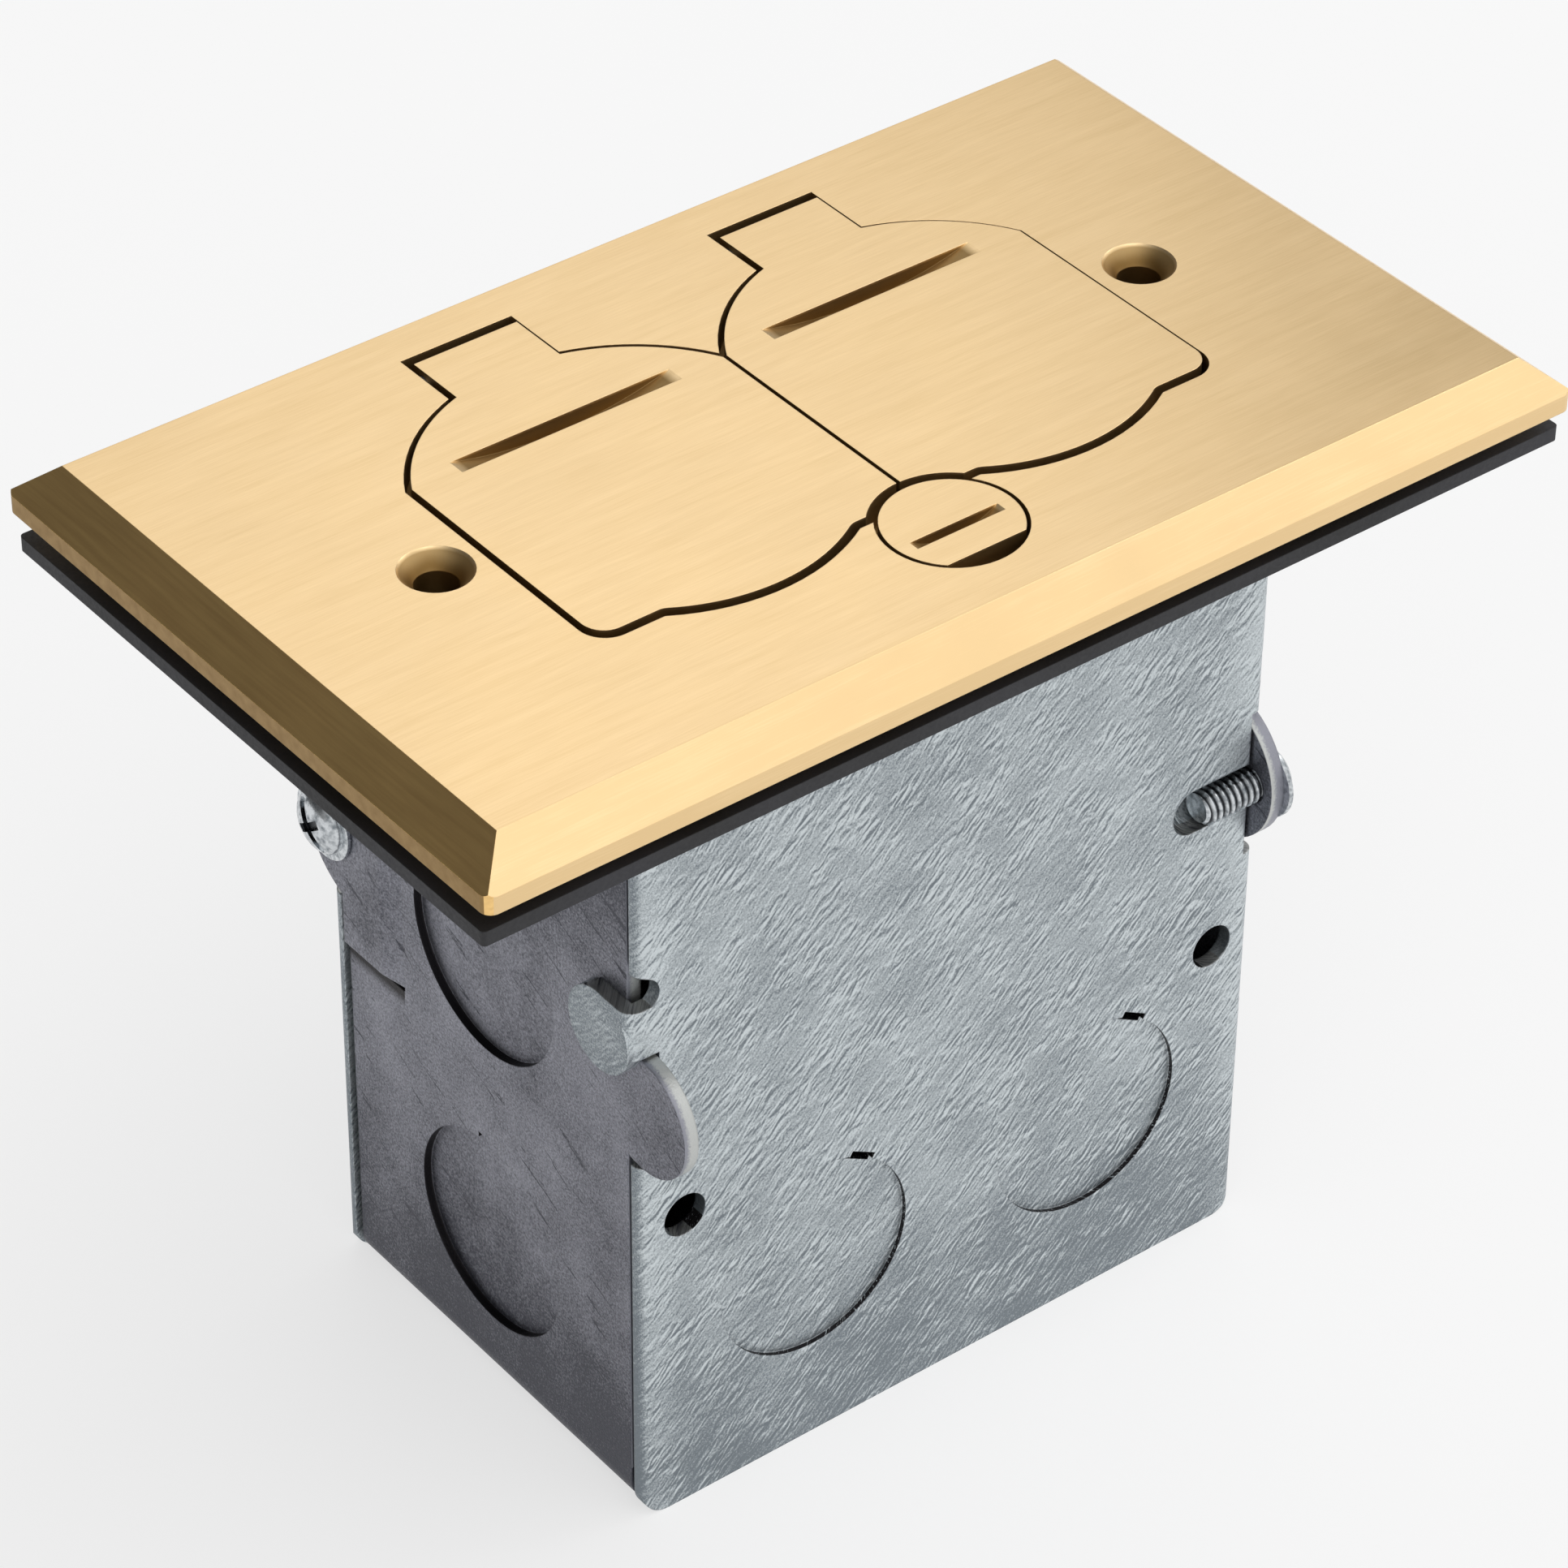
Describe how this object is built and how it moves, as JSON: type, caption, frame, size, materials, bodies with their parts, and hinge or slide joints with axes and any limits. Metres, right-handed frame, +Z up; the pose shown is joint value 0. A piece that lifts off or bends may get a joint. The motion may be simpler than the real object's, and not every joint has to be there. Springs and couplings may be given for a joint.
{
  "type": "floor socket box",
  "caption": "Brass floor cover with hinged lids and a turn lock over a duplex receptacle in a sheet steel box",
  "frame": {"origin": "centre of the outline at the box's bottom", "axes": "+Z up through the cover, +X along the long side of the cover, -Y towards the side with the turn lock"},
  "size_m": [0.127, 0.0762, 0.1017],
  "materials": {
    "brushed_brass": "satin brushed",
    "gasket_rubber": "matt",
    "steel_pin": "drawn",
    "spring_steel": "stamped",
    "zinc_screw": "bright zinc plated",
    "galvanized_body": "galvanized",
    "galvanized_side": "galvanized",
    "ivory_thermoplastic": "moulded",
    "dark_thermoplastic": "moulded",
    "zinc_strap": "zinc plated",
    "contact_brass": "stamped",
    "contact_nickel": "nickel plated",
    "terminal_brass": "turned",
    "terminal_nickel": "nickel plated",
    "ground_green": "dyed"
  },
  "bodies": {
    "box": {"cover_plate": "brushed_brass", "cover_gasket": "gasket_rubber", "hinge_pins": "steel_pin", "hinge_keeper": "spring_steel", "keeper_rivets": "steel_pin", "lock_washer": "spring_steel", "center_screw": "zinc_screw", "gang_screws": "zinc_screw", "box_body": "galvanized_body", "side_plate_near": "galvanized_side", "side_plate_far": "galvanized_side", "receptacle_face": "ivory_thermoplastic", "receptacle_body": "dark_thermoplastic", "mounting_strap": "zinc_strap", "strap_rivets": "steel_pin", "hot_contacts": "contact_brass", "neutral_contacts": "contact_nickel", "ground_contacts": "contact_brass", "hot_terminal_screws": "terminal_brass", "neutral_terminal_screws": "terminal_nickel", "ground_terminal_screw": "ground_green"},
    "lid_left": {"lid_left": "brushed_brass", "lid_seal_left": "gasket_rubber"},
    "lid_right": {"lid_right": "brushed_brass", "lid_seal_right": "gasket_rubber"},
    "lock": {"lock_cam": "brushed_brass", "lock_clip": "spring_steel"}
  },
  "joints": [
    {"name": "lid_left_hinge", "type": "hinge", "parent": "box", "child": "lid_left", "pos_m": [-0.0182, 0.02675, 0.1002], "axis": [-1, 0, 0], "range_deg": [0, 100]},
    {"name": "lid_right_hinge", "type": "hinge", "parent": "box", "child": "lid_right", "pos_m": [0.0182, 0.02675, 0.1002], "axis": [-1, 0, 0], "range_deg": [0, 100]},
    {"name": "lock_turn", "type": "hinge", "parent": "box", "child": "lock", "pos_m": [0, -0.0225, 0.0987], "axis": [0, 0, 1], "range_deg": [0, 180]}
  ]
}
